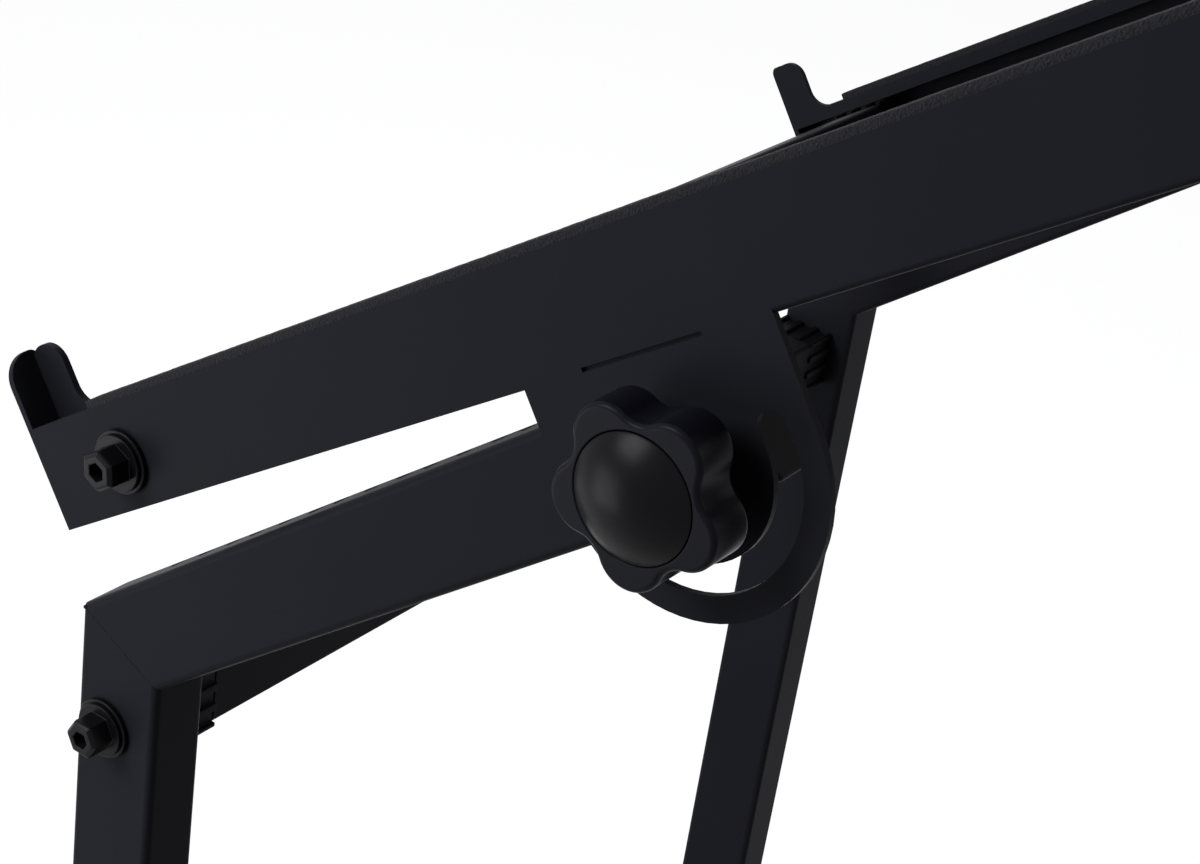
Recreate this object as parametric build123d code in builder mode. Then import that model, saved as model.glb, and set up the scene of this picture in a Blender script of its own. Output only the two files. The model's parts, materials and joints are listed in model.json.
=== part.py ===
from build123d import *

import os
from math import cos, degrees, radians, sin, tan

# A rolling 19 inch rack stand with a tilting top platform, in millimetres.
# +Z is up, the user stands at -Y, and the origin is on the floor under the middle of the base.
os.makedirs("parts", exist_ok=True)

# Rack rails
rack_hole_span = 465.1
rack_hole_inset = 7.55
rack_unit = 44.45
post_units = 12
slant_units = 6
rack_hole_radius = 3.0
rail_depth = 25.0
rail_width = 38.0
rail_wall = 2.0
rail_corner = 3.0
slant_angle = 39.4
slant_length = 305.0
post_clear_top = 78.0
post_clear_bottom = 24.0
slant_hole_start = 30.0

# Base
foot_height = 40.0
foot_wall = 2.0
foot_length = 550.0
rail_setback = 110.0
gusset_thickness = 3.0
gusset_rise = 120.0
gusset_run = 90.0
gusset_nose = 8.0
cap_flange = 3.0
cap_plug = 14.0
cap_slack = 0.2

# Casters
wheel_radius = 25.0
wheel_width = 18.0
tyre_thickness = 6.0
tyre_shoulder = 3.0
hub_width = 20.0
hub_rim = 3.0
hub_web = 6.0
hub_boss_radius = 7.0
axle_head_radius = 5.5
axle_head = 2.0
axle_radius = 3.0
fork_wall = 2.5
fork_gap = 21.0
fork_radius = 17.0
fork_leg_radius = 9.0
caster_trail = 18.0
wheel_headroom = 4.0
housing_height = 9.0
housing_radius = 16.0
housing_taper = 8.0
kingpin_radius = 4.0
kingpin_head_radius = 6.5
kingpin_head = 2.0
stem_radius = 5.0
stem_length = 24.0
caster_inset = 50.0

# Crossbars and their ribbed end sockets
bar_side = 25.0
bar_wall = 2.0
bar_corner = 2.0
socket_length = 18.0
socket_lip = 1.25
socket_groove = 1.6
socket_groove_width = 5.6
socket_pitch = 8.8
socket_corner = 1.0
spigot_length = 18.0
spigot_slack = 0.2
top_bar_drop = 45.0
top_bar_setback = 14.5
platform_bar_front = 41.5
platform_bar_rear_gap = 40.0
platform_bar_height = 17.0

# Bolts that hold the crossbars
bolt_radius = 4.0
bolt_hole_slack = 0.25
bolt_washer_radius = 11.5
bolt_washer_thickness = 2.0
bolt_flange_radius = 10.2
bolt_flange_thickness = 1.5
bolt_hex_flats = 13.0
bolt_hex_height = 9.0
bolt_hex_chamfer = 1.2
bolt_socket_flats = 6.0
bolt_socket_depth = 5.0
bolt_grip = 14.0

# Tilting platform
platform_angle = 35.8
arm_length = 530.0
arm_height = 37.0
arm_wall = 2.5
arm_flange = 15.0
arm_lip = 6.0
arm_bend = 2.0
pad_thickness = 3.0
pad_width = 11.0
pad_start = 32.0
pad_end_gap = 8.0
ear_tip_radius = 8.2
ear_foot_radius = 9.0
ear_outer_round = 10.5
ear_inner_round = 4.0
ear_waist = 16.4
ear_plate_height = 63.0
tab_radius = 46.5
tab_drop = 34.0
tab_place = 269.3
tab_fillet = 3.0
slit_start = 246.0
slit_end = 291.0
slit_height = 1.4
slit_depth = 1.2
slot_inner = 28.5
slot_width = 9.5
slot_first = 17.0
slot_last = -197.0

# Pivot and clamping knob
pivot_place = 283.4
pivot_drop = 25.0
pivot_radius = 5.0
running_slack = 0.08
face_gap = 0.3
friction_washer_radius = 12.5
friction_washer_thickness = 1.5
clamp_washer_radius = 11.0
clamp_washer_thickness = 1.5
pivot_head_radius = 11.0
pivot_head_height = 5.0
guide_radius = 4.0
guide_head_radius = 6.5
guide_head_height = 3.0
knob_lobes = 5
knob_lobe_radius = 11.0
knob_lobe_circle = 17.5
knob_valley = 9.0
knob_thickness = 17.0
knob_edge = 1.8
knob_phase = 24.0
knob_hub_radius = 14.0
knob_hub_height = 7.6
knob_bore_depth = 18.0
dome_radius = 19.5
dome_height = 7.0
dome_seat = 1.5
dome_slack = 0.15

# Worked out from the sizes above
rack_opening = rack_hole_span - 2 * rack_hole_inset
side_inner = rack_opening / 2
side_outer = side_inner + rail_depth
side_middle = side_inner + rail_depth / 2
hole_x = rack_hole_span / 2
rail_front = -foot_length / 2 + rail_setback
rail_back = rail_front + rail_width
rail_middle = rail_front + rail_width / 2
top_bar_y = rail_front + top_bar_setback
fork_top = 2 * wheel_radius + wheel_headroom + fork_wall
foot_bottom = fork_top + face_gap + housing_height
foot_top = foot_bottom + foot_height
foot_middle = foot_bottom + foot_height / 2
post_height = post_clear_bottom + post_units * rack_unit + post_clear_top
rail_top = foot_top + post_height
bolt_hole_radius = bolt_radius + bolt_hole_slack
arm_inner = side_outer + friction_washer_thickness + face_gap
arm_outer = arm_inner + arm_wall
flange_inner = arm_outer - arm_flange
clamp_seat = arm_outer + face_gap
knob_seat = clamp_seat + clamp_washer_thickness + face_gap
knob_face = knob_seat + knob_hub_height + knob_thickness
socket_side = bar_side + 2 * socket_lip
platform_bar_rear = arm_length - platform_bar_rear_gap
dome_ball = (dome_radius ** 2 + dome_height ** 2) / (2 * dome_height)
slot_end_turn = degrees(slot_width / 2 / (slot_inner + slot_width / 2))


def slant_point(along, across):
    """World Y and Z of a place on the sloping rail, measured from the rail's front top corner."""
    c = cos(radians(slant_angle))
    s = sin(radians(slant_angle))
    return rail_front + along * c - across * s, rail_top + along * s + across * c


pivot_y, pivot_z = slant_point(pivot_place, -pivot_drop)


def arm_point(along, across):
    """World Y and Z of a place on the platform arm, measured from the arm's front bottom corner."""
    c = cos(radians(platform_angle))
    s = sin(radians(platform_angle))
    u = along - tab_place
    v = across + tab_drop
    return pivot_y + u * c - v * s, pivot_z + u * s + v * c


def side_plane(x, y, z, angle=0.0):
    """A plane square to X whose own x axis climbs to the rear at an angle."""
    return Plane(origin=(x, y, z), x_dir=(0, cos(radians(angle)), sin(radians(angle))), z_dir=(1, 0, 0))


def slant_plane(x, along=0.0, across=0.0):
    return side_plane(x, *slant_point(along, across), slant_angle)


def arm_plane(x, along=0.0, across=0.0):
    return side_plane(x, *arm_point(along, across), platform_angle)


slant_axis = Axis((0, 0, 0), (0, cos(radians(slant_angle)), sin(radians(slant_angle))))
arm_axis = Axis((0, 0, 0), (0, cos(radians(platform_angle)), sin(radians(platform_angle))))
mitre_along = rail_width * (1 - sin(radians(slant_angle))) / cos(radians(slant_angle))
mitre_y, mitre_z = slant_point(mitre_along, -rail_width)


def save(piece, name):
    """Labels a finished piece and writes it."""
    piece.label = name
    export_step(piece, f"parts/{name}.step")


def mirrored(piece):
    """The same piece for the other side of the stand."""
    with BuildPart() as other:
        mirror(piece, about=Plane.YZ)
    return other.part


def save_pair(piece, name):
    """Writes a right hand piece and its left hand mirror image."""
    other = mirrored(piece)
    save(piece, f"{name}_right")
    save(other, f"{name}_left")


def save_both(piece, name):
    """Writes the right hand pieces and their left hand mirror images as one group."""
    with BuildPart() as group:
        add(piece)
        mirror(piece, about=Plane.YZ)
    save(group.part, name)


def unit_rows(units, start):
    """The heights of the three holes in each rack unit."""
    rows = []
    for unit in range(units):
        for step in (6.35, 22.225, 38.1):
            rows.append(start + unit * rack_unit + step)
    return rows


# Upright rack rail: a rectangular tube cut to a mitre at the top
with BuildPart() as post_rail:
    with BuildSketch(Plane.YZ.offset(side_inner)):
        with BuildLine():
            Polyline(
                (rail_front, foot_top),
                (rail_back, foot_top),
                (mitre_y, mitre_z),
                (rail_front, rail_top),
                close=True,
            )
        make_face()
    extrude(amount=rail_depth)
    fillet(post_rail.edges().filter_by(Axis.Z), rail_corner)
    with BuildSketch(Plane.XY.offset(foot_top)):
        with Locations((side_middle, rail_middle)):
            Rectangle(rail_depth - 2 * rail_wall, rail_width - 2 * rail_wall)
    extrude(amount=post_height, mode=Mode.SUBTRACT)
    with BuildSketch(Plane.XZ.offset(-rail_front)):
        with Locations(*[(hole_x, z) for z in unit_rows(post_units, foot_top + post_clear_bottom)]):
            Circle(rack_hole_radius)
    extrude(amount=-rail_wall, mode=Mode.SUBTRACT)
    with BuildSketch(Plane.YZ.offset(side_inner)):
        with Locations((top_bar_y, rail_top - top_bar_drop)):
            Circle(bolt_hole_radius)
    extrude(amount=rail_depth, mode=Mode.SUBTRACT)
save_pair(post_rail.part, "post_rail")

# Sloping rack rail: it meets the post at the mitre and carries the pivot near its rear end
with BuildPart() as slant_rail:
    with BuildSketch(slant_plane(side_inner)):
        with BuildLine():
            Polyline(
                (0, 0),
                (mitre_along, -rail_width),
                (slant_length, -rail_width),
                (slant_length, 0),
                close=True,
            )
        make_face()
    extrude(amount=rail_depth)
    fillet(slant_rail.edges().filter_by(slant_axis), rail_corner)
    with BuildSketch(Plane(origin=(side_middle, *slant_point(slant_length, -rail_width / 2)),
                           x_dir=(1, 0, 0), z_dir=slant_axis.direction)):
        Rectangle(rail_depth - 2 * rail_wall, rail_width - 2 * rail_wall)
    extrude(amount=-2 * slant_length, mode=Mode.SUBTRACT)
    with BuildSketch(Plane(origin=(hole_x, *slant_point(0, 0)), x_dir=slant_axis.direction,
                           z_dir=(0, -sin(radians(slant_angle)), cos(radians(slant_angle))))):
        with Locations(*[(along, 0) for along in unit_rows(slant_units, slant_hole_start)]):
            Circle(rack_hole_radius)
    extrude(amount=-rail_wall, mode=Mode.SUBTRACT)
    with BuildSketch(slant_plane(side_inner, pivot_place, -pivot_drop)):
        Circle(pivot_radius + running_slack)
        with PolarLocations(slot_inner + slot_width / 2, 1, start_angle=180):
            Circle(guide_radius + running_slack)
    extrude(amount=rail_depth, mode=Mode.SUBTRACT)
save_pair(slant_rail.part, "slant_rail")

# Plastic plug that closes the rear end of the sloping rail
with BuildPart() as slant_cap:
    with BuildSketch(Plane(origin=(side_middle, *slant_point(slant_length, -rail_width / 2)),
                           x_dir=(1, 0, 0), z_dir=slant_axis.direction)):
        RectangleRounded(rail_depth, rail_width, rail_corner)
    extrude(amount=cap_flange)
    fillet(slant_cap.faces().sort_by(slant_axis)[-1].edges(), cap_flange / 2)
    with BuildSketch(Plane(origin=(side_middle, *slant_point(slant_length, -rail_width / 2)),
                           x_dir=(1, 0, 0), z_dir=slant_axis.direction)):
        Rectangle(rail_depth - 2 * rail_wall - 2 * cap_slack, rail_width - 2 * rail_wall - 2 * cap_slack)
    extrude(amount=-(slant_length - pivot_place - pivot_radius - cap_flange))
    with BuildSketch(Plane(origin=(side_middle, *slant_point(slant_length, -rail_width / 2)),
                           x_dir=(1, 0, 0), z_dir=slant_axis.direction)):
        Rectangle(rail_depth - 4 * rail_wall - 2 * cap_slack, rail_width - 4 * rail_wall - 2 * cap_slack)
    extrude(amount=-slant_length, mode=Mode.SUBTRACT)
save_both(slant_cap.part, "slant_caps")

# Foot: a rectangular tube that runs fore and aft under the post
with BuildPart() as foot_rail:
    with BuildSketch(Plane.XZ.offset(-foot_length / 2)):
        with Locations((side_middle, foot_middle)):
            RectangleRounded(rail_depth, foot_height, rail_corner)
            Rectangle(rail_depth - 2 * foot_wall, foot_height - 2 * foot_wall, mode=Mode.SUBTRACT)
    extrude(amount=foot_length)
    with BuildSketch(Plane.XY.offset(foot_bottom)):
        with Locations((side_middle, foot_length / 2 - caster_inset), (side_middle, caster_inset - foot_length / 2)):
            Circle(stem_radius)
    extrude(amount=foot_wall, mode=Mode.SUBTRACT)
    with BuildSketch(Plane.YZ.offset(side_inner)):
        with Locations((rail_middle, foot_middle), (-rail_middle, foot_middle)):
            Circle(bolt_hole_radius)
    extrude(amount=rail_depth, mode=Mode.SUBTRACT)
save_pair(foot_rail.part, "foot_rail")

# Plastic plugs in the four open ends of the feet
with BuildPart() as foot_cap:
    with BuildSketch(Plane.XZ.offset(foot_length / 2)):
        with Locations((side_middle, foot_middle)):
            RectangleRounded(rail_depth, foot_height, rail_corner)
    extrude(amount=cap_flange)
    fillet(foot_cap.faces().sort_by(Axis.Y)[0].edges(), cap_flange / 2)
    with BuildSketch(Plane.XZ.offset(foot_length / 2)):
        with Locations((side_middle, foot_middle)):
            plug_slack = foot_wall + cap_slack
            Rectangle(rail_depth - 2 * plug_slack, foot_height - 2 * plug_slack)
            Rectangle(rail_depth - 2 * plug_slack - 2 * foot_wall, foot_height - 2 * plug_slack - 2 * foot_wall,
                      mode=Mode.SUBTRACT)
    extrude(amount=-cap_plug)
with BuildPart() as side_caps:
    add(foot_cap.part)
    mirror(foot_cap.part, about=Plane.XZ)
save_both(side_caps.part, "foot_caps")

# Triangular web that stiffens the corner between the post and the foot
with BuildPart() as gusset:
    with BuildSketch(Plane.YZ.offset(side_middle - gusset_thickness / 2)):
        with BuildLine():
            Polyline(
                (rail_back, foot_top),
                (rail_back + gusset_run, foot_top),
                (rail_back + gusset_run, foot_top + gusset_nose),
                (rail_back + gusset_nose, foot_top + gusset_rise),
                (rail_back, foot_top + gusset_rise),
                close=True,
            )
        make_face()
    extrude(amount=gusset_thickness)
save_both(gusset.part, "post_gussets")

# Ribbed plastic socket that fills the end of a crossbar, drawn for a bar on the X axis
with BuildPart() as bar_socket:
    with BuildSketch(Plane.YZ.offset(-socket_length)):
        RectangleRounded(socket_side, socket_side, socket_corner)
        for turn in (0, 90, 180, 270):
            with Locations(Location((0, 0), turn)):
                with Locations((socket_side / 2, -socket_pitch), (socket_side / 2, 0), (socket_side / 2, socket_pitch)):
                    Rectangle(2 * socket_groove, socket_groove_width, mode=Mode.SUBTRACT)
    extrude(amount=socket_length)
    with BuildSketch(Plane.YZ.offset(-socket_length)):
        Rectangle(bar_side - 2 * bar_wall - 2 * spigot_slack, bar_side - 2 * bar_wall - 2 * spigot_slack)
    extrude(amount=-spigot_length)
    with BuildSketch(Plane.YZ.offset(-socket_length - spigot_length)):
        Circle(bolt_radius)
    extrude(amount=socket_length + spigot_length, mode=Mode.SUBTRACT)

# Washer under a crossbar bolt and the flanged bolt itself, drawn for a seat on the YZ plane
with BuildPart() as bolt_washer:
    with BuildSketch(Plane.YZ):
        Circle(bolt_washer_radius)
        Circle(bolt_radius, mode=Mode.SUBTRACT)
    extrude(amount=bolt_washer_thickness)
    fillet(bolt_washer.edges().group_by(Axis.X)[-1].sort_by(SortBy.RADIUS)[-1], bolt_washer_thickness / 4)
with BuildPart() as bar_bolt:
    with BuildSketch(Plane.YZ.offset(bolt_washer_thickness)):
        Circle(bolt_flange_radius)
    extrude(amount=bolt_flange_thickness)
    with BuildSketch(Plane.YZ.offset(bolt_washer_thickness + bolt_flange_thickness)):
        RegularPolygon(bolt_hex_flats / 2, 6, major_radius=False)
    extrude(amount=bolt_hex_height - bolt_hex_chamfer)
    with BuildSketch(Plane.YZ.offset(bolt_washer_thickness + bolt_flange_thickness + bolt_hex_height - bolt_hex_chamfer)):
        RegularPolygon(bolt_hex_flats / 2, 6, major_radius=False)
    extrude(amount=bolt_hex_chamfer, taper=45)
    with BuildSketch(Plane.YZ.offset(bolt_washer_thickness + bolt_flange_thickness + bolt_hex_height)):
        RegularPolygon(bolt_socket_flats / 2, 6, major_radius=False)
    extrude(amount=-bolt_socket_depth, mode=Mode.SUBTRACT)


def crossbar(name, y, z, seat, bolt_seat, angle=0.0):
    """Writes a crossbar, its two end sockets, and adds its bolts and washers to the list."""
    bar_end = seat - socket_length
    with BuildPart() as bar:
        with BuildSketch(side_plane(-bar_end, y, z, angle)):
            RectangleRounded(bar_side, bar_side, bar_corner)
            Rectangle(bar_side - 2 * bar_wall, bar_side - 2 * bar_wall, mode=Mode.SUBTRACT)
        extrude(amount=2 * bar_end)
    save(bar.part, name)
    with BuildPart() as socket:
        with Locations(Location((seat, y, z), (angle, 0, 0))):
            add(bar_socket.part)
    save_both(socket.part, f"{name}_sockets")
    with BuildPart() as bolt:
        with Locations(Location((bolt_seat, y, z), (angle, 0, 0))):
            add(bar_bolt.part)
        with BuildSketch(side_plane(seat - bolt_grip, y, z, angle)):
            Circle(bolt_radius)
        extrude(amount=bolt_seat - seat + bolt_grip + bolt_washer_thickness)
    with BuildPart() as washer:
        with Locations(Location((bolt_seat, y, z), (angle, 0, 0))):
            add(bolt_washer.part)
    return bolt.part, washer.part


# Crossbars of the frame: one under the rail corner and two between the feet
frame_bars = [
    crossbar("front_top_crossbar", top_bar_y, rail_top - top_bar_drop, side_inner, side_outer),
    crossbar("front_foot_crossbar", rail_middle, foot_middle, side_inner, side_outer),
    crossbar("rear_foot_crossbar", -rail_middle, foot_middle, side_inner, side_outer),
]
with BuildPart() as frame_bolts:
    add([bolt for bolt, washer in frame_bars])
save_both(frame_bolts.part, "frame_bolts")
with BuildPart() as frame_washers:
    add([washer for bolt, washer in frame_bars])
save_both(frame_washers.part, "frame_bolt_washers")

# Centre line of the arc slot in the tab
with BuildLine(Plane.XY) as slot_line:
    CenterArc((0, 0), slot_inner + slot_width / 2, slot_first - slot_end_turn,
              slot_last - slot_first + 2 * slot_end_turn)

# Platform arm: bent sheet with a hooked ear at the front and a slotted tab round the pivot
with BuildPart() as platform_arm:
    with BuildSketch(arm_plane(arm_inner)):
        with BuildLine():
            Polyline(
                (0, 0),
                (tab_place - tab_radius, 0),
                (tab_place - tab_radius, -tab_drop),
            )
            RadiusArc((tab_place - tab_radius, -tab_drop), (tab_place, -tab_drop - tab_radius), -tab_radius)
            RadiusArc((tab_place, -tab_drop - tab_radius), (tab_place + tab_radius, -tab_drop), -tab_radius)
            Polyline(
                (tab_place + tab_radius, -tab_drop),
                (tab_place + tab_radius, 0),
                (arm_length, 0),
                (arm_length, arm_height),
                (0, arm_height),
                (0, 0),
            )
        make_face()
    extrude(amount=arm_wall)
    with BuildSketch(arm_plane(flange_inner)):
        with Locations((arm_length / 2, arm_height - arm_wall / 2)):
            Rectangle(arm_length, arm_wall)
    extrude(amount=arm_flange)
    with BuildSketch(arm_plane(flange_inner)):
        with BuildLine():
            tip = Line((0, arm_height - arm_lip), (0, ear_plate_height - ear_tip_radius))
            RadiusArc(tip @ 1, (ear_tip_radius, ear_plate_height), ear_tip_radius)
            RadiusArc((ear_tip_radius, ear_plate_height), (ear_waist, ear_plate_height - ear_tip_radius), ear_tip_radius)
            back = Line((ear_waist, ear_plate_height - ear_tip_radius), (ear_waist, arm_height + ear_foot_radius))
            RadiusArc(back @ 1, (ear_waist + ear_foot_radius, arm_height), -ear_foot_radius)
            Polyline(
                (ear_waist + ear_foot_radius, arm_height),
                (arm_length, arm_height),
                (arm_length, arm_height - arm_lip),
                tip @ 0,
            )
        make_face()
    extrude(amount=arm_wall)
    with BuildSketch(Plane(origin=(flange_inner, *arm_point(0, 0)), x_dir=(1, 0, 0),
                           z_dir=(-arm_axis.direction))):
        with Locations((arm_flange / 2, ear_plate_height / 2)):
            Rectangle(arm_flange, ear_plate_height)
        fillet(vertices().group_by(Axis.Y)[-1].sort_by(Axis.X)[-1], ear_outer_round)
        fillet(vertices().group_by(Axis.X)[0].sort_by(Axis.Y)[-1], ear_inner_round)
    extrude(amount=-arm_wall)
    fillet(platform_arm.edges().filter_by(arm_axis).group_by(Axis.X)[-1].sort_by(Axis.Z)[-1], arm_bend)
    with BuildSketch(arm_plane(arm_inner)):
        with Locations((platform_bar_front, platform_bar_height), (platform_bar_rear, platform_bar_height)):
            Circle(bolt_hole_radius)
        with Locations((tab_place, -tab_drop)):
            Circle(pivot_radius + running_slack)
            SlotArc(slot_line.edge(), slot_width)
    extrude(amount=arm_wall, mode=Mode.SUBTRACT)
    with BuildSketch(arm_plane(arm_outer)):
        with Locations(((slit_start + slit_end) / 2, slit_height / 2)):
            Rectangle(slit_end - slit_start, slit_height)
    extrude(amount=-slit_depth, mode=Mode.SUBTRACT)
save_pair(platform_arm.part, "platform_arm")

# Rubber strip on the flange of each arm
with BuildPart() as pad:
    with BuildSketch(arm_plane(flange_inner + (arm_flange - pad_width) / 2)):
        with Locations(((pad_start + arm_length - pad_end_gap) / 2, arm_height + pad_thickness / 2)):
            Rectangle(arm_length - pad_end_gap - pad_start, pad_thickness)
    extrude(amount=pad_width)
save_both(pad.part, "arm_pads")

# Crossbars of the platform: one at each end of the arms
platform_bars = [
    crossbar("platform_front_crossbar", *arm_point(platform_bar_front, platform_bar_height), arm_inner, arm_outer,
             platform_angle),
    crossbar("platform_rear_crossbar", *arm_point(platform_bar_rear, platform_bar_height), arm_inner, arm_outer,
             platform_angle),
]
with BuildPart() as platform_bolts:
    add([bolt for bolt, washer in platform_bars])
save_both(platform_bolts.part, "platform_bolts")
with BuildPart() as platform_washers:
    add([washer for bolt, washer in platform_bars])
save_both(platform_washers.part, "platform_bolt_washers")

# Pivot: a bolt from inside the rail, a friction washer, the arm, a clamp washer and the knob
with BuildPart() as pivot_bolt:
    with BuildSketch(side_plane(side_inner, pivot_y, pivot_z)):
        Circle(pivot_head_radius)
    extrude(amount=-pivot_head_height)
    fillet(pivot_bolt.edges().group_by(Axis.X)[0], pivot_head_height / 4)
    with BuildSketch(side_plane(side_inner, pivot_y, pivot_z)):
        Circle(pivot_radius)
    extrude(amount=knob_seat + knob_bore_depth - running_slack - side_inner)
save_both(pivot_bolt.part, "pivot_bolts")
with BuildPart() as friction_washer:
    with BuildSketch(side_plane(side_outer, pivot_y, pivot_z)):
        Circle(friction_washer_radius)
        Circle(pivot_radius, mode=Mode.SUBTRACT)
    extrude(amount=friction_washer_thickness)
save_both(friction_washer.part, "friction_washers")
with BuildPart() as clamp_washer:
    with BuildSketch(side_plane(clamp_seat, pivot_y, pivot_z)):
        Circle(clamp_washer_radius)
        Circle(pivot_radius, mode=Mode.SUBTRACT)
    extrude(amount=clamp_washer_thickness)
save_both(clamp_washer.part, "clamp_washers")

# Guide bolt: it runs in the arc slot of the tab and stops the platform at both ends
with BuildPart() as guide_bolt:
    with BuildSketch(slant_plane(side_inner, pivot_place, -pivot_drop)):
        with PolarLocations(slot_inner + slot_width / 2, 1, start_angle=180):
            Circle(guide_radius)
    extrude(amount=clamp_seat - side_inner)
    with BuildSketch(slant_plane(clamp_seat, pivot_place, -pivot_drop)):
        with PolarLocations(slot_inner + slot_width / 2, 1, start_angle=180):
            Circle(guide_head_radius)
    extrude(amount=guide_head_height)
    fillet(guide_bolt.edges().group_by(Axis.X)[-1], guide_head_height / 3)
    with BuildSketch(slant_plane(side_inner, pivot_place, -pivot_drop)):
        with PolarLocations(slot_inner + slot_width / 2, 1, start_angle=180):
            Circle(guide_head_radius)
    extrude(amount=-guide_head_height)
save_both(guide_bolt.part, "guide_bolts")

# Star knob with five lobes, and the domed plug pressed into its face
with BuildPart() as knob:
    with BuildSketch(side_plane(knob_seat, pivot_y, pivot_z)):
        Circle(knob_hub_radius)
    extrude(amount=knob_hub_height)
    with BuildSketch(side_plane(knob_seat + knob_hub_height, pivot_y, pivot_z, platform_angle + knob_phase)):
        Circle(knob_lobe_circle)
        with PolarLocations(knob_lobe_circle, knob_lobes):
            Circle(knob_lobe_radius)
        fillet(vertices(), knob_valley)
    extrude(amount=knob_thickness)
    fillet(knob.edges().group_by(Axis.X)[-1], knob_edge)
    fillet(knob.faces().filter_by(Plane.YZ).sort_by(Axis.X)[1].outer_wire().edges(), knob_edge)
    with BuildSketch(side_plane(knob_face, pivot_y, pivot_z)):
        Circle(dome_radius + dome_slack)
    extrude(amount=-dome_seat, mode=Mode.SUBTRACT)
    with BuildSketch(side_plane(knob_seat, pivot_y, pivot_z)):
        Circle(pivot_radius + running_slack)
    extrude(amount=knob_bore_depth, mode=Mode.SUBTRACT)
save_pair(knob.part, "clamp_knob")
with BuildPart() as knob_dome:
    with BuildSketch(Plane(origin=(knob_face - dome_seat, pivot_y, pivot_z), x_dir=(1, 0, 0), z_dir=(0, -1, 0))):
        with BuildLine():
            Polyline((dome_seat + dome_height, 0), (0, 0), (0, dome_radius), (dome_seat, dome_radius))
            RadiusArc((dome_seat, dome_radius), (dome_seat + dome_height, 0), dome_ball)
        make_face()
    revolve(axis=Axis((0, pivot_y, pivot_z), (1, 0, 0)))
save_pair(knob_dome.part, "knob_dome")


def caster(name, y):
    """Writes one swivel caster: its housing and stem, fork, axle, tyre and hub."""
    axle_y = y + caster_trail
    with BuildPart() as top:
        with BuildSketch(Plane.XY.offset(foot_bottom)):
            with Locations((side_middle, y)):
                Circle(housing_radius)
        extrude(amount=-housing_height, taper=housing_taper)
        with BuildSketch(Plane.XY.offset(foot_bottom)):
            with Locations((side_middle, y)):
                Circle(stem_radius)
        extrude(amount=stem_length)
        with BuildSketch(Plane.XY.offset(foot_bottom - housing_height)):
            with Locations((side_middle, y)):
                Circle(kingpin_radius)
        extrude(amount=-2 * face_gap - fork_wall)
        with BuildSketch(Plane.XY.offset(fork_top - fork_wall - face_gap)):
            with Locations((side_middle, y)):
                Circle(kingpin_head_radius)
        extrude(amount=-kingpin_head)
    with BuildPart() as fork:
        with BuildSketch(Plane.YZ.offset(side_middle - fork_gap / 2 - fork_wall)):
            with Locations((y, fork_top - fork_wall / 2)):
                Rectangle(2 * fork_radius, fork_wall)
            with Locations((axle_y, wheel_radius)):
                Circle(fork_leg_radius)
            make_hull()
        extrude(amount=fork_gap + 2 * fork_wall)
        with BuildSketch(Plane.YZ.offset(side_middle - fork_gap / 2)):
            with Locations((y + caster_trail / 2, fork_top - fork_wall - fork_top / 2)):
                Rectangle(6 * fork_radius, fork_top)
        extrude(amount=fork_gap, mode=Mode.SUBTRACT)
        fillet(fork.edges().filter_by(Axis.Y).group_by(Axis.Z)[-1], fork_wall / 2)
        with BuildSketch(Plane.XY.offset(fork_top)):
            with Locations((side_middle, y)):
                Circle(kingpin_radius + running_slack)
        extrude(amount=-fork_wall, mode=Mode.SUBTRACT)
        with BuildSketch(Plane.YZ.offset(side_middle - fork_gap / 2 - fork_wall)):
            with Locations((axle_y, wheel_radius)):
                Circle(axle_radius)
        extrude(amount=fork_gap + 2 * fork_wall, mode=Mode.SUBTRACT)
    with BuildPart() as axle:
        with BuildSketch(Plane.YZ.offset(side_middle - fork_gap / 2 - fork_wall)):
            with Locations((axle_y, wheel_radius)):
                Circle(axle_radius)
        extrude(amount=fork_gap + 2 * fork_wall)
        for side in (-1, 1):
            with BuildSketch(Plane.YZ.offset(side_middle + side * (fork_gap / 2 + fork_wall))):
                with Locations((axle_y, wheel_radius)):
                    Circle(axle_head_radius)
            extrude(amount=side * axle_head)
    with BuildPart() as tyre:
        with BuildSketch(Plane.YZ.offset(side_middle - wheel_width / 2)):
            with Locations((axle_y, wheel_radius)):
                Circle(wheel_radius)
        extrude(amount=wheel_width)
        fillet(tyre.edges(), tyre_shoulder)
        with BuildSketch(Plane.YZ.offset(side_middle - wheel_width / 2)):
            with Locations((axle_y, wheel_radius)):
                Circle(wheel_radius - tyre_thickness)
        extrude(amount=wheel_width, mode=Mode.SUBTRACT)
    with BuildPart() as hub:
        with BuildSketch(Plane.YZ.offset(side_middle - wheel_width / 2)):
            with Locations((axle_y, wheel_radius)):
                Circle(wheel_radius - tyre_thickness)
                Circle(wheel_radius - tyre_thickness - hub_rim, mode=Mode.SUBTRACT)
        extrude(amount=wheel_width)
        with BuildSketch(Plane.YZ.offset(side_middle - hub_web / 2)):
            with Locations((axle_y, wheel_radius)):
                Circle(wheel_radius - tyre_thickness - hub_rim)
        extrude(amount=hub_web)
        with BuildSketch(Plane.YZ.offset(side_middle - hub_width / 2)):
            with Locations((axle_y, wheel_radius)):
                Circle(hub_boss_radius)
        extrude(amount=hub_width)
        with BuildSketch(Plane.YZ.offset(side_middle - hub_width / 2)):
            with Locations((axle_y, wheel_radius)):
                Circle(axle_radius + running_slack)
        extrude(amount=hub_width, mode=Mode.SUBTRACT)
    save_pair(top.part, f"{name}_caster_top")
    save_pair(fork.part, f"{name}_caster_fork")
    save_pair(axle.part, f"{name}_caster_axle")
    save_pair(tyre.part, f"{name}_wheel_tyre")
    save_pair(hub.part, f"{name}_wheel_hub")


# Four swivel casters under the ends of the feet, trailing to the rear
caster("front", caster_inset - foot_length / 2)
caster("rear", foot_length / 2 - caster_inset)
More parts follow.
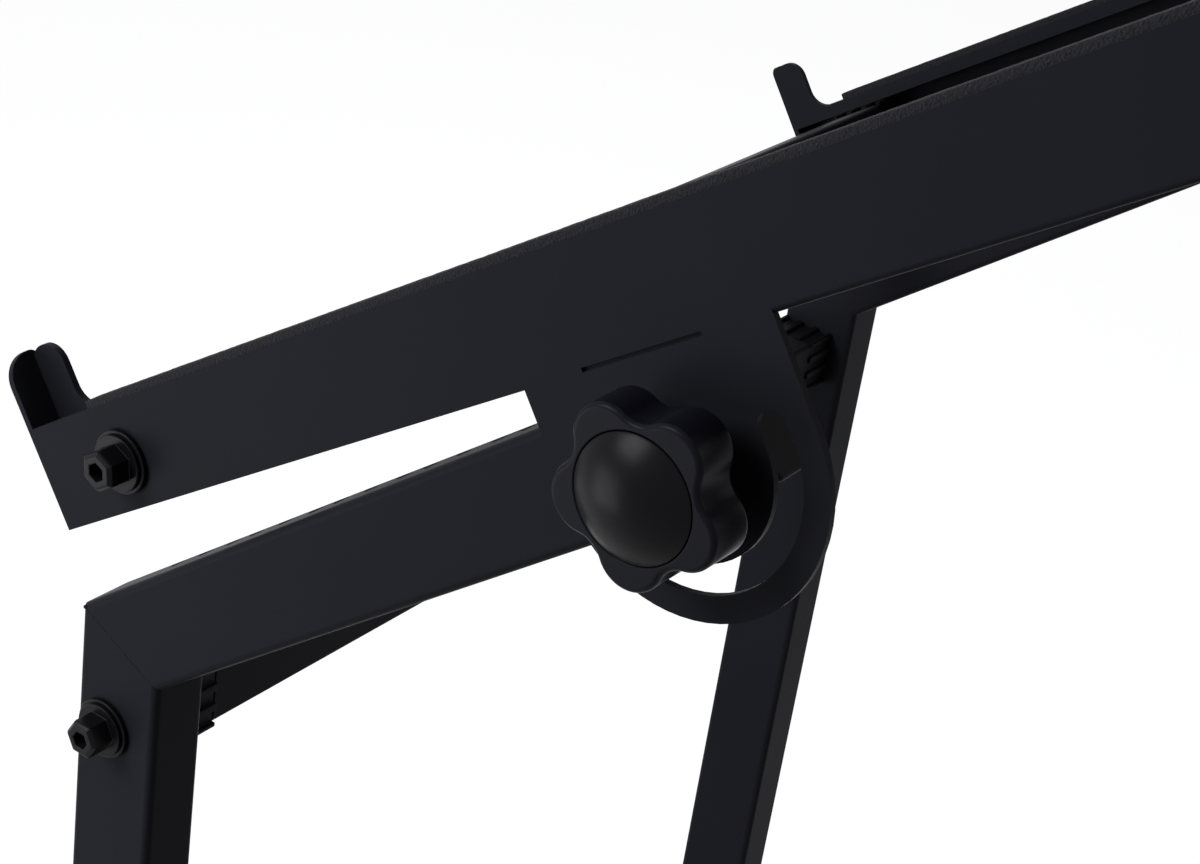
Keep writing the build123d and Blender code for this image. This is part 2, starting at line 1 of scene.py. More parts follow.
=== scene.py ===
"""Dresses a rolling rack stand with a tilting top platform, and lights and frames it.

Each sub-assembly here softens the edges of its pieces, adds the small detail that the plain solids
leave out, and gives every piece its finish. All lengths are in metres unless a name ends in _mm.
"""
from __future__ import annotations

import json
import logging
import math
from dataclasses import dataclass
from dataclasses import field
from enum import Enum

import bmesh
import bpy
from mathutils import Matrix
from mathutils import Vector
from mathutils import noise


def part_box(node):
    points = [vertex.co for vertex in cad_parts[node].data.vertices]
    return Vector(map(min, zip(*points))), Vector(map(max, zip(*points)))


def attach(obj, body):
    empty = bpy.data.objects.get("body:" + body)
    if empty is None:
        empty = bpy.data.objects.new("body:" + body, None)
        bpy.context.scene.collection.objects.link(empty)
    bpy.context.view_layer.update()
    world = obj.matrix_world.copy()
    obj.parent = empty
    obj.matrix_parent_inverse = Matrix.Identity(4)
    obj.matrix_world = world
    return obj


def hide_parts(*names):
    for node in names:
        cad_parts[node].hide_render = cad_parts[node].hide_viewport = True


LOG = logging.getLogger("rack_stand")
MM = 0.001
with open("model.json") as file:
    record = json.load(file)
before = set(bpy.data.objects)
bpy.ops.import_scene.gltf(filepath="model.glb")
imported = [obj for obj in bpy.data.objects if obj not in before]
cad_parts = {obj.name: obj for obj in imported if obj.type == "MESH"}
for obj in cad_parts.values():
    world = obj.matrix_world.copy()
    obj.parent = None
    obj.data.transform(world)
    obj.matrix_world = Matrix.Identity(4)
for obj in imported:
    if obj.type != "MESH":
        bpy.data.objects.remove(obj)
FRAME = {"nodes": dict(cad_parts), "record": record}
SLOT_OF_NODE = {row["node"]: row["material_slot"] for row in FRAME["record"]["subparts"]}


class Side(Enum):
    """Which side of the stand a piece is on, seen by the user."""

    RIGHT = "right"
    LEFT = "left"

    @property
    def sign(self) -> int:
        """+1 on the right, -1 on the left."""
        return 1 if self is Side.RIGHT else -1


class NodeWriter:
    """Places and links nodes in one node tree, left to right."""

    SPACING = 180

    def __init__(self, tree: bpy.types.NodeTree) -> None:
        """Keeps the tree that nodes go into.

        Args:
            tree: the tree to write in.
        """
        self.tree = tree
        self.column = 0

    def add(self, kind: str, **settings: object) -> bpy.types.Node:
        """Adds one node.

        Args:
            kind: the node's Blender type name.
            **settings: attributes to set on the node.

        Returns:
            The new node.
        """
        node = self.tree.nodes.new(kind)
        node.location = (self.column * self.SPACING, 0)
        self.column += 1
        for name, value in settings.items():
            setattr(node, name, value)
        return node

    def link(self, source: bpy.types.NodeSocket, target: bpy.types.NodeSocket) -> None:
        """Joins an output to an input.

        Args:
            source: the output.
            target: the input.
        """
        self.tree.links.new(source, target)


class GroupLibrary:
    """Shader node groups that several finishes share, each built once."""

    GRAIN_DETAIL = 3.0
    GRAIN_ROUGHNESS = 0.6
    PATCH_DETAIL = 4.0
    SPECK_DETAIL = 6.0
    SPECK_ROUGHNESS = 0.75
    LEAST_UPWARD = 0.2
    FULL_UPWARD = 0.95
    LEAST_SPECK = 0.45
    FULL_SPECK = 0.8

    def grain(self) -> bpy.types.NodeTree:
        """Fine pebbled skin: a height for bump and a slow patchy mask.

        Returns:
            A group with inputs Grain Scale, Patch Scale and outputs Height, Patches.
        """
        existing = bpy.data.node_groups.get("pebbled_skin")
        if existing:
            return existing
        tree = bpy.data.node_groups.new("pebbled_skin", "ShaderNodeTree")
        tree.interface.new_socket("Grain Scale", in_out="INPUT", socket_type="NodeSocketFloat")
        tree.interface.new_socket("Patch Scale", in_out="INPUT", socket_type="NodeSocketFloat")
        tree.interface.new_socket("Height", in_out="OUTPUT", socket_type="NodeSocketFloat")
        tree.interface.new_socket("Patches", in_out="OUTPUT", socket_type="NodeSocketFloat")
        nodes = NodeWriter(tree)
        source = nodes.add("NodeGroupInput")
        place = nodes.add("ShaderNodeTexCoord")
        fine = nodes.add("ShaderNodeTexNoise")
        fine.inputs["Detail"].default_value = self.GRAIN_DETAIL
        fine.inputs["Roughness"].default_value = self.GRAIN_ROUGHNESS
        pebbles = nodes.add("ShaderNodeTexVoronoi", feature="SMOOTH_F1")
        blend = nodes.add("ShaderNodeMath", operation="ADD")
        slow = nodes.add("ShaderNodeTexNoise")
        slow.inputs["Detail"].default_value = self.PATCH_DETAIL
        result = nodes.add("NodeGroupOutput")
        nodes.link(place.outputs["Object"], fine.inputs["Vector"])
        nodes.link(place.outputs["Object"], pebbles.inputs["Vector"])
        nodes.link(place.outputs["Object"], slow.inputs["Vector"])
        nodes.link(source.outputs["Grain Scale"], fine.inputs["Scale"])
        nodes.link(source.outputs["Grain Scale"], pebbles.inputs["Scale"])
        nodes.link(source.outputs["Patch Scale"], slow.inputs["Scale"])
        nodes.link(fine.outputs["Fac"], blend.inputs[0])
        nodes.link(pebbles.outputs["Distance"], blend.inputs[1])
        nodes.link(blend.outputs["Value"], result.inputs["Height"])
        nodes.link(slow.outputs["Fac"], result.inputs["Patches"])
        return tree

    def dust(self) -> bpy.types.NodeTree:
        """Thin dust that settles on faces that look up.

        Returns:
            A group with inputs Amount and Speck Scale and the output Mask.
        """
        existing = bpy.data.node_groups.get("settled_dust")
        if existing:
            return existing
        tree = bpy.data.node_groups.new("settled_dust", "ShaderNodeTree")
        tree.interface.new_socket("Amount", in_out="INPUT", socket_type="NodeSocketFloat")
        tree.interface.new_socket("Speck Scale", in_out="INPUT", socket_type="NodeSocketFloat")
        tree.interface.new_socket("Mask", in_out="OUTPUT", socket_type="NodeSocketFloat")
        nodes = NodeWriter(tree)
        source = nodes.add("NodeGroupInput")
        place = nodes.add("ShaderNodeTexCoord")
        specks = nodes.add("ShaderNodeTexNoise")
        specks.inputs["Detail"].default_value = self.SPECK_DETAIL
        specks.inputs["Roughness"].default_value = self.SPECK_ROUGHNESS
        facing = nodes.add("ShaderNodeNewGeometry")
        parts = nodes.add("ShaderNodeSeparateXYZ")
        upward = nodes.add("ShaderNodeMapRange")
        upward.inputs["From Min"].default_value = self.LEAST_UPWARD
        upward.inputs["From Max"].default_value = self.FULL_UPWARD
        ramp = nodes.add("ShaderNodeMapRange")
        ramp.inputs["From Min"].default_value = self.LEAST_SPECK
        ramp.inputs["From Max"].default_value = self.FULL_SPECK
        both = nodes.add("ShaderNodeMath", operation="MULTIPLY")
        scaled = nodes.add("ShaderNodeMath", operation="MULTIPLY")
        result = nodes.add("NodeGroupOutput")
        nodes.link(place.outputs["Object"], specks.inputs["Vector"])
        nodes.link(source.outputs["Speck Scale"], specks.inputs["Scale"])
        nodes.link(facing.outputs["Normal"], parts.inputs["Vector"])
        nodes.link(parts.outputs["Z"], upward.inputs["Value"])
        nodes.link(specks.outputs["Fac"], ramp.inputs["Value"])
        nodes.link(upward.outputs["Result"], both.inputs[0])
        nodes.link(ramp.outputs["Result"], both.inputs[1])
        nodes.link(both.outputs["Value"], scaled.inputs[0])
        nodes.link(source.outputs["Amount"], scaled.inputs[1])
        nodes.link(scaled.outputs["Value"], result.inputs["Mask"])
        return tree


GROUPS = GroupLibrary()


@dataclass(frozen=True)
class Finish:
    """One surface finish, with its colours, gloss and skin."""

    name: str
    slot: str
    colour: tuple[float, float, float]
    second_colour: tuple[float, float, float]
    roughness: float
    rough_spread: float = 0.06
    metallic: float = 0.0
    grain_scale: float = 900.0
    grains_per_speck: float = 3.0
    patch_scale: float = 14.0
    bump: float = 0.12
    bump_depth: float = 0.06 * MM
    dust: float = 0.0
    specular: float = 0.5
    sheen: float = 0.0
    dust_colour: tuple[float, float, float] = (0.25, 0.25, 0.27)

    def material(self) -> bpy.types.Material:
        """Builds the material, or finds the one already built.

        Returns:
            The material.
        """
        existing = bpy.data.materials.get(self.name)
        if existing:
            return existing
        material = bpy.data.materials.new(self.name)
        material.use_nodes = True
        material.node_tree.nodes.clear()
        nodes = NodeWriter(material.node_tree)
        skin = nodes.add("ShaderNodeGroup", node_tree=GROUPS.grain())
        skin.inputs["Grain Scale"].default_value = self.grain_scale
        skin.inputs["Patch Scale"].default_value = self.patch_scale
        film = nodes.add("ShaderNodeGroup", node_tree=GROUPS.dust())
        film.inputs["Amount"].default_value = self.dust
        film.inputs["Speck Scale"].default_value = self.grain_scale / self.grains_per_speck
        tint = nodes.add("ShaderNodeMix", data_type="RGBA")
        tint.inputs["A"].default_value = (*self.colour, 1.0)
        tint.inputs["B"].default_value = (*self.second_colour, 1.0)
        dusty = nodes.add("ShaderNodeMix", data_type="RGBA")
        dusty.inputs["B"].default_value = (*self.dust_colour, 1.0)
        gloss = nodes.add("ShaderNodeMapRange")
        gloss.inputs["To Min"].default_value = self.roughness - self.rough_spread
        gloss.inputs["To Max"].default_value = self.roughness + self.rough_spread
        bump = nodes.add("ShaderNodeBump")
        bump.inputs["Strength"].default_value = self.bump
        bump.inputs["Distance"].default_value = self.bump_depth
        shader = nodes.add("ShaderNodeBsdfPrincipled")
        shader.inputs["Metallic"].default_value = self.metallic
        shader.inputs["Specular IOR Level"].default_value = self.specular
        shader.inputs["Sheen Weight"].default_value = self.sheen
        output = nodes.add("ShaderNodeOutputMaterial")
        nodes.link(skin.outputs["Patches"], tint.inputs["Factor"])
        nodes.link(tint.outputs["Result"], dusty.inputs["A"])
        nodes.link(film.outputs["Mask"], dusty.inputs["Factor"])
        nodes.link(dusty.outputs["Result"], shader.inputs["Base Color"])
        nodes.link(skin.outputs["Patches"], gloss.inputs["Value"])
        nodes.link(gloss.outputs["Result"], shader.inputs["Roughness"])
        nodes.link(skin.outputs["Height"], bump.inputs["Height"])
        nodes.link(bump.outputs["Normal"], shader.inputs["Normal"])
        nodes.link(shader.outputs["BSDF"], output.inputs["Surface"])
        return material


POWDER_COAT = Finish(
    "satin_powder_coat", "black_powder_coat", (0.0138, 0.0141, 0.0180), (0.0188, 0.0192, 0.0248),
    roughness=0.42, bump=0.10, dust=0.02, specular=0.018)
BLACK_HARDWARE = Finish(
    "black_oxide_hardware", "black_hardware", (0.005, 0.005, 0.006), (0.009, 0.009, 0.011),
    roughness=0.30, bump=0.16, grain_scale=1400.0, specular=0.07)
ZINC = Finish(
    "zinc_plate", "zinc_steel", (0.42, 0.43, 0.45), (0.52, 0.53, 0.54),
    roughness=0.34, metallic=1.0, bump=0.08, grain_scale=600.0)
SATIN_PLASTIC = Finish(
    "moulded_black_plastic", "black_plastic", (0.005, 0.005, 0.006), (0.009, 0.009, 0.010),
    roughness=0.5, bump=0.2, grain_scale=1600.0, specular=0.03)
KNOB_PLASTIC = Finish(
    "satin_knob_plastic", "knob_plastic", (0.0062, 0.0064, 0.0100), (0.0090, 0.0092, 0.0140),
    roughness=0.32, bump=0.12, grain_scale=1500.0, specular=0.05)
DOME_PLASTIC = Finish(
    "polished_dome_plastic", "gloss_black_plastic", (0.0030, 0.0030, 0.0044), (0.0045, 0.0045, 0.0062),
    roughness=0.30, rough_spread=0.03, bump=0.04, specular=0.08)
FELT_STRIP = Finish(
    "felted_strip", "pad_foam", (0.010, 0.010, 0.012), (0.040, 0.040, 0.046),
    roughness=0.92, bump=0.9, bump_depth=0.5 * MM, grain_scale=1500.0, patch_scale=900.0,
    sheen=0.1, specular=0.05)
TYRE = Finish(
    "tyre_rubber", "tyre_rubber", (0.012, 0.012, 0.012), (0.024, 0.024, 0.024),
    roughness=0.72, bump=0.35, grain_scale=700.0, dust=0.2, specular=0.1)

FINISHES = (
    POWDER_COAT, BLACK_HARDWARE, ZINC, SATIN_PLASTIC, KNOB_PLASTIC, DOME_PLASTIC, FELT_STRIP, TYRE)
FINISH_OF_SLOT = {finish.slot: finish for finish in FINISHES}


class MeshTools:
    """Mesh helpers that the sub-assemblies share."""

    MERGE_DISTANCE = 0.01 * MM
    FLAT_DEGREES = 0.5
    FACE_WEIGHT = 90

    @staticmethod
    def softened(node: str, width: float, segments: int = 2, angle: float = 28.0) -> bpy.types.Object:
        """Copies a solid's mesh, joins its faces and rounds its edges.

        Args:
            node: the name of the solid.
            width: how wide the rounding is.
            segments: how many faces make the rounding.
            angle: edges sharper than this many degrees are rounded.

        Returns:
            A new object at the origin, linked into the scene.
        """
        source = FRAME["nodes"][node]
        mesh = source.data.copy()
        mesh.name = f"{node}_softened"
        work = bmesh.new()
        work.from_mesh(mesh)
        bmesh.ops.remove_doubles(work, verts=work.verts, dist=MeshTools.MERGE_DISTANCE)
        bmesh.ops.dissolve_limit(
            work, angle_limit=math.radians(MeshTools.FLAT_DEGREES), use_dissolve_boundaries=False,
            verts=work.verts, edges=work.edges, delimit={"NORMAL"})
        work.to_mesh(mesh)
        work.free()
        mesh.shade_smooth()
        piece = bpy.data.objects.new(f"{node}_dressed", mesh)
        bpy.context.scene.collection.objects.link(piece)
        rounding = piece.modifiers.new("rounding", "BEVEL")
        rounding.width = width
        rounding.segments = segments
        rounding.limit_method = "ANGLE"
        rounding.angle_limit = math.radians(angle)
        rounding.use_clamp_overlap = True
        flat = piece.modifiers.new("flat_faces", "WEIGHTED_NORMAL")
        flat.keep_sharp = True
        flat.weight = MeshTools.FACE_WEIGHT
        return MeshTools.frozen(piece)

    @staticmethod
    def frozen(piece: bpy.types.Object) -> bpy.types.Object:
        """Turns a piece's modifiers into plain mesh.

        Args:
            piece: the object whose modifiers are applied.

        Returns:
            The same object with a plain mesh and no modifier.
        """
        graph = bpy.context.evaluated_depsgraph_get()
        graph.update()
        result = bpy.data.meshes.new_from_object(piece.evaluated_get(graph))
        piece.modifiers.clear()
        piece.data = result
        return piece

    @staticmethod
    def smooth(piece: bpy.types.Object, angle: float = 35.0) -> None:
        """Shades a mesh smooth and keeps its sharp edges crisp.

        Args:
            piece: the object to shade.
            angle: edges sharper than this many degrees stay crisp.
        """
        piece.data.shade_smooth()
        piece.data.set_sharp_from_angle(angle=math.radians(angle))

    @staticmethod
    def dress(piece: bpy.types.Object, finish: Finish) -> None:
        """Gives every face of a piece one finish.

        Args:
            piece: the object to dress.
            finish: the finish of all its faces.
        """
        piece.data.materials.clear()
        piece.data.materials.append(finish.material())
        for face in piece.data.polygons:
            face.material_index = 0


@dataclass(frozen=True)
class ThreadRows:
    """The rack holes of one rail and the thread cut in them."""

    units: int
    rows: tuple[float, float, float]
    unit_pitch: float = 44.45 * MM
    hole_radius: float = 3.05 * MM
    thread_depth: float = 0.32 * MM
    wall: float = 2.0 * MM
    turns: float = 2.0
    turn_steps: int = 12


class RepeatTool:
    """Geometry Nodes trees for what repeats, and the plain meshes that they make."""

    RIDGE_SIDES = 3
    BEAD_STEP = 0.9
    LEAST_BEAD = 0.85
    MOST_BEAD = 1.15
    BEAD_DETAIL = 2

    @staticmethod
    def tree(
        name: str, numbers: dict[str, float], counts: dict[str, int],
    ) -> tuple[NodeWriter, bpy.types.Node]:
        """Starts a tree with named inputs.

        Args:
            name: the tree's name.
            numbers: the float inputs and their values.
            counts: the whole number inputs and their values.

        Returns:
            The tree's writer and its input node.
        """
        group = bpy.data.node_groups.new(name, "GeometryNodeTree")
        group.interface.new_socket("Geometry", in_out="INPUT", socket_type="NodeSocketGeometry")
        for key, value in numbers.items():
            socket = group.interface.new_socket(key, in_out="INPUT", socket_type="NodeSocketFloat")
            socket.default_value = value
        for key, value in counts.items():
            socket = group.interface.new_socket(key, in_out="INPUT", socket_type="NodeSocketInt")
            socket.default_value = value
        group.interface.new_socket("Material", in_out="INPUT", socket_type="NodeSocketMaterial")
        group.interface.new_socket("Geometry", in_out="OUTPUT", socket_type="NodeSocketGeometry")
        nodes = NodeWriter(group)
        return nodes, nodes.add("NodeGroupInput")

    @staticmethod
    def finish_tree(nodes: NodeWriter, source: bpy.types.Node, shape: bpy.types.NodeSocket) -> None:
        """Ends a tree with Realize Instances and Set Material.

        Args:
            nodes: the tree's writer.
            source: the tree's input node.
            shape: the geometry to put out.
        """
        real = nodes.add("GeometryNodeRealizeInstances")
        paint = nodes.add("GeometryNodeSetMaterial")
        result = nodes.add("NodeGroupOutput")
        nodes.link(shape, real.inputs["Geometry"])
        nodes.link(real.outputs["Geometry"], paint.inputs["Geometry"])
        nodes.link(source.outputs["Material"], paint.inputs["Material"])
        nodes.link(paint.outputs["Geometry"], result.inputs["Geometry"])

    @staticmethod
    def made(name: str, tree: bpy.types.NodeTree, finish: Finish, place: Matrix) -> bpy.types.Object:
        """Runs a tree and keeps its result as a plain mesh.

        Args:
            name: the new piece's name.
            tree: the tree to run.
            finish: the piece's finish.
            place: where the tree's own origin and axes go.

        Returns:
            The new piece, at the origin, with its place in its mesh.
        """
        seed_mesh = bpy.data.meshes.new(f"{name}_seed")
        piece = bpy.data.objects.new(name, seed_mesh)
        bpy.context.scene.collection.objects.link(piece)
        maker = piece.modifiers.new("maker", "NODES")
        maker.node_group = tree
        for socket in tree.interface.items_tree:
            if socket.in_out == "INPUT" and socket.name == "Material":
                maker[socket.identifier] = finish.material()
        MeshTools.frozen(piece)
        piece.data.transform(place)
        MeshTools.smooth(piece)
        return piece

    @staticmethod
    def threads(name: str, spec: ThreadRows) -> bpy.types.NodeTree:
        """A helical thread in every rack hole of one rail.

        Args:
            name: the tree's name.
            spec: the sizes of the rows and of the thread.

        Returns:
            The tree. Rows climb along its +Z and the hole axis is its +Y.
        """
        nodes, source = RepeatTool.tree(
            name,
            {"Unit Pitch": spec.unit_pitch, "Hole Radius": spec.hole_radius,
             "Thread Depth": spec.thread_depth, "Wall": spec.wall, "Half Turn": math.pi / 2},
            {"Units": spec.units, "Turn Steps": spec.turn_steps})
        spiral = nodes.add("GeometryNodeCurveSpiral")
        ridge = nodes.add("GeometryNodeCurvePrimitiveCircle", mode="RADIUS")
        ridge.inputs["Resolution"].default_value = RepeatTool.RIDGE_SIDES
        sweep = nodes.add("GeometryNodeCurveToMesh")
        spiral.inputs["Rotations"].default_value = spec.turns
        nodes.link(source.outputs["Turn Steps"], spiral.inputs["Resolution"])
        nodes.link(source.outputs["Hole Radius"], spiral.inputs["Start Radius"])
        nodes.link(source.outputs["Hole Radius"], spiral.inputs["End Radius"])
        nodes.link(source.outputs["Wall"], spiral.inputs["Height"])
        nodes.link(source.outputs["Thread Depth"], ridge.inputs["Radius"])
        nodes.link(spiral.outputs["Curve"], sweep.inputs["Curve"])
        nodes.link(ridge.outputs["Curve"], sweep.inputs["Profile Curve"])
        lie = nodes.add("ShaderNodeCombineXYZ")
        laid = nodes.add("GeometryNodeTransform")
        nodes.link(source.outputs["Half Turn"], lie.inputs["X"])
        nodes.link(sweep.outputs["Mesh"], laid.inputs["Geometry"])
        nodes.link(lie.outputs["Vector"], laid.inputs["Rotation"])
        step = nodes.add("ShaderNodeCombineXYZ")
        nodes.link(source.outputs["Unit Pitch"], step.inputs["Z"])
        rows = nodes.add("GeometryNodeJoinGeometry")
        for height in spec.rows:
            line = nodes.add("GeometryNodeMeshLine", mode="OFFSET")
            line.inputs["Start Location"].default_value = (0.0, spec.wall, height)
            nodes.link(source.outputs["Units"], line.inputs["Count"])
            nodes.link(step.outputs["Vector"], line.inputs["Offset"])
            nodes.link(line.outputs["Mesh"], rows.inputs["Geometry"])
        spread = nodes.add("GeometryNodeInstanceOnPoints")
        nodes.link(rows.outputs["Geometry"], spread.inputs["Points"])
        nodes.link(laid.outputs["Geometry"], spread.inputs["Instance"])
        RepeatTool.finish_tree(nodes, source, spread.outputs["Instances"])
        return nodes.tree

    @staticmethod
    def weld(name: str, length: float, bead: float, seed: int) -> bpy.types.NodeTree:
        """A weld seam of overlapping beads along +X.

        Args:
            name: the tree's name.
            length: how long the seam is.
            bead: the radius of a bead.
            seed: the seed of the small unevenness.

        Returns:
            The tree. The seam starts at its origin.
        """
        step_length = bead * RepeatTool.BEAD_STEP
        nodes, source = RepeatTool.tree(
            name,
            {"Bead Radius": bead, "Bead Step": step_length,
             "Least": RepeatTool.LEAST_BEAD, "Most": RepeatTool.MOST_BEAD},
            {"Beads": int(length / step_length), "Seed": seed})
        ball = nodes.add("GeometryNodeMeshIcoSphere")
        ball.inputs["Subdivisions"].default_value = RepeatTool.BEAD_DETAIL
        step = nodes.add("ShaderNodeCombineXYZ")
        line = nodes.add("GeometryNodeMeshLine", mode="OFFSET")
        uneven = nodes.add("FunctionNodeRandomValue", data_type="FLOAT")
        spread = nodes.add("GeometryNodeInstanceOnPoints")
        nodes.link(source.outputs["Bead Radius"], ball.inputs["Radius"])
        nodes.link(source.outputs["Bead Step"], step.inputs["X"])
        nodes.link(step.outputs["Vector"], line.inputs["Offset"])
        nodes.link(source.outputs["Beads"], line.inputs["Count"])
        nodes.link(source.outputs["Least"], uneven.inputs[2])
        nodes.link(source.outputs["Most"], uneven.inputs[3])
        nodes.link(source.outputs["Seed"], uneven.inputs["Seed"])
        nodes.link(line.outputs["Mesh"], spread.inputs["Points"])
        nodes.link(ball.outputs["Mesh"], spread.inputs["Instance"])
        nodes.link(uneven.outputs[1], spread.inputs["Scale"])
        RepeatTool.finish_tree(nodes, source, spread.outputs["Instances"])
        return nodes.tree

    @staticmethod
    def spokes(
        name: str, count: int, inner: float, outer: float, size: tuple[float, float],
    ) -> bpy.types.NodeTree:
        """Flat ribs that stand out from the X axis like the spokes of a wheel.

        Args:
            name: the tree's name.
            count: how many ribs.
            inner: where a rib starts, from the axis.
            outer: where a rib ends, from the axis.
            size: how deep along the axis and how wide a rib is.

        Returns:
            The tree, about its own origin.
        """
        nodes, source = RepeatTool.tree(
            name, {"Rib Depth": size[0], "Rib Length": outer - inner, "Rib Width": size[1],
                   "Middle Radius": (inner + outer) / 2, "Turn": 2 * math.pi / count}, {"Ribs": count})
        extent = nodes.add("ShaderNodeCombineXYZ")
        rib = nodes.add("GeometryNodeMeshCube")
        reach = nodes.add("ShaderNodeCombineXYZ")
        moved = nodes.add("GeometryNodeTransform")
        line = nodes.add("GeometryNodeMeshLine", mode="OFFSET")
        line.inputs["Offset"].default_value = (0.0, 0.0, 0.0)
        order = nodes.add("GeometryNodeInputIndex")
        angle = nodes.add("ShaderNodeMath", operation="MULTIPLY")
        turn = nodes.add("ShaderNodeCombineXYZ")
        spread = nodes.add("GeometryNodeInstanceOnPoints")
        nodes.link(source.outputs["Rib Depth"], extent.inputs["X"])
        nodes.link(source.outputs["Rib Length"], extent.inputs["Y"])
        nodes.link(source.outputs["Rib Width"], extent.inputs["Z"])
        nodes.link(extent.outputs["Vector"], rib.inputs["Size"])
        nodes.link(source.outputs["Middle Radius"], reach.inputs["Y"])
        nodes.link(rib.outputs["Mesh"], moved.inputs["Geometry"])
        nodes.link(reach.outputs["Vector"], moved.inputs["Translation"])
        nodes.link(source.outputs["Ribs"], line.inputs["Count"])
        nodes.link(order.outputs["Index"], angle.inputs[0])
        nodes.link(source.outputs["Turn"], angle.inputs[1])
        nodes.link(angle.outputs["Value"], turn.inputs["X"])
        nodes.link(line.outputs["Mesh"], spread.inputs["Points"])
        nodes.link(moved.outputs["Geometry"], spread.inputs["Instance"])
        nodes.link(turn.outputs["Vector"], spread.inputs["Rotation"])
        RepeatTool.finish_tree(nodes, source, spread.outputs["Instances"])
        return nodes.tree


@dataclass
class SubAssembly:
    """A group of pieces that move with one body."""

    body: str
    nodes: tuple[str, ...]
    edge_mm: float = 0.4
    pieces: list[bpy.types.Object] = field(default_factory=list)

    def edge_of(self, node: str) -> float:
        """How wide a node's rounded edges are.

        Args:
            node: the name of the solid.

        Returns:
            The width in mm.
        """
        return self.edge_mm

    def finish_of(self, node: str) -> Finish:
        """The finish that the record's material slot gives a node.

        Args:
            node: the name of the solid.

        Returns:
            The finish.
        """
        return FINISH_OF_SLOT[SLOT_OF_NODE[node]]

    def build(self) -> list[bpy.types.Object]:
        """Softens and dresses every node of the sub-assembly.

        Returns:
            The new pieces.
        """
        for node in self.nodes:
            piece = MeshTools.softened(node, self.edge_of(node) * MM)
            finish = self.finish_of(node)
            MeshTools.dress(piece, finish)
            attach(piece, self.body)
            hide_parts(node)
            self.pieces.append(piece)
        self.add_detail()
        return self.pieces

    def keep(self, piece: bpy.types.Object, finish: Finish) -> None:
        """Puts an added piece on the sub-assembly's body.

        Args:
            piece: the new piece.
            finish: not used.
        """
        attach(piece, self.body)
        self.pieces.append(piece)

    def add_detail(self) -> None:
        """Adds what the plain solids leave out; a plain sub-assembly adds nothing."""


@dataclass
class RackFrame(SubAssembly):
    """The uprights, sloping rails and base."""

    hole_x: float = 232.55 * MM
    row_steps_mm: tuple[float, float, float] = (6.35, 22.225, 38.1)
    post_clear_mm: float = 24.0
    post_units: int = 12
    slope_start_mm: float = 30.0
    slope_units: int = 6
    slope_degrees: float = 39.4
    bead_mm: float = 1.3
    ground_bead_mm: float = 0.7
    ground_sink_mm: float = 0.53
    seam_inset_mm: float = 1.4
    first_seed: int = 3

    def add_detail(self) -> None:
        """Cuts a thread in every rack hole and lays the welds."""
        for side in Side:
            self.thread_holes(side)
            self.weld_side(side)

    def thread_holes(self, side: Side) -> None:
        """Threads the hole rows of one side's upright and sloping rail.

        Args:
            side: the side to work on.
        """
        low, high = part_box(f"post_rail_{side.value}")
        across = side.sign * self.hole_x
        lean = Matrix.Rotation(math.radians(self.slope_degrees - 90.0), 4, "X")
        upright = Matrix.Translation((across, low[1], low[2]))
        slope = Matrix.Translation((across, low[1], high[2])) @ lean
        self.thread_rail(f"upright_threads_{side.value}", self.post_units, self.post_clear_mm, upright)
        self.thread_rail(f"slope_threads_{side.value}", self.slope_units, self.slope_start_mm, slope)

    def thread_rail(self, name: str, units: int, start_mm: float, place: Matrix) -> None:
        """Threads every hole of one rail.

        Args:
            name: the new piece's name.
            units: how many rack units the rail has.
            start_mm: where the first unit starts, from the rail's lower end.
            place: the rail's lower end and the way it runs.
        """
        rows = tuple((start_mm + step) * MM for step in self.row_steps_mm)
        tree = RepeatTool.threads(name, ThreadRows(units, rows))
        self.keep(RepeatTool.made(name, tree, POWDER_COAT, place), POWDER_COAT)

    def weld_side(self, side: Side) -> None:
        """Lays the welds of one side: foot, web and the ground seam of the mitre.

        Args:
            side: the side to work on.
        """
        low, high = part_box(f"post_rail_{side.value}")
        web_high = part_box("post_gussets")[1]
        mitre_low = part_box(f"slant_rail_{side.value}")[0]
        web_face = side.sign * web_high[0]
        outer_face = side.sign * (max(abs(low[0]), abs(high[0])) - self.ground_sink_mm * MM)
        root = Vector((web_face, high[1], low[2]))
        mitre_start = Vector((outer_face, low[1], high[2]))
        mitre_end = Vector((outer_face, high[1], mitre_low[2]))
        seams = {
            "web_foot_weld": (root, Vector((web_face, web_high[1], low[2])), self.bead_mm),
            "web_upright_weld": (root, Vector((web_face, high[1], web_high[2])), self.bead_mm),
            "upright_front_weld": (Vector(low), Vector((high[0], low[1], low[2])), self.bead_mm),
            "mitre_seam": (mitre_start, mitre_end, self.ground_bead_mm),
        }
        for index, (name, (start, end, bead)) in enumerate(seams.items()):
            full = f"{name}_{side.value}"
            way = end - start
            inset = self.seam_inset_mm * MM
            begin = start + way.normalized() * inset
            place = Matrix.Translation(begin) @ way.to_track_quat("X", "Z").to_matrix().to_4x4()
            tree = RepeatTool.weld(full, way.length - 2 * inset, bead * MM, index + self.first_seed)
            self.keep(RepeatTool.made(full, tree, POWDER_COAT, place), POWDER_COAT)


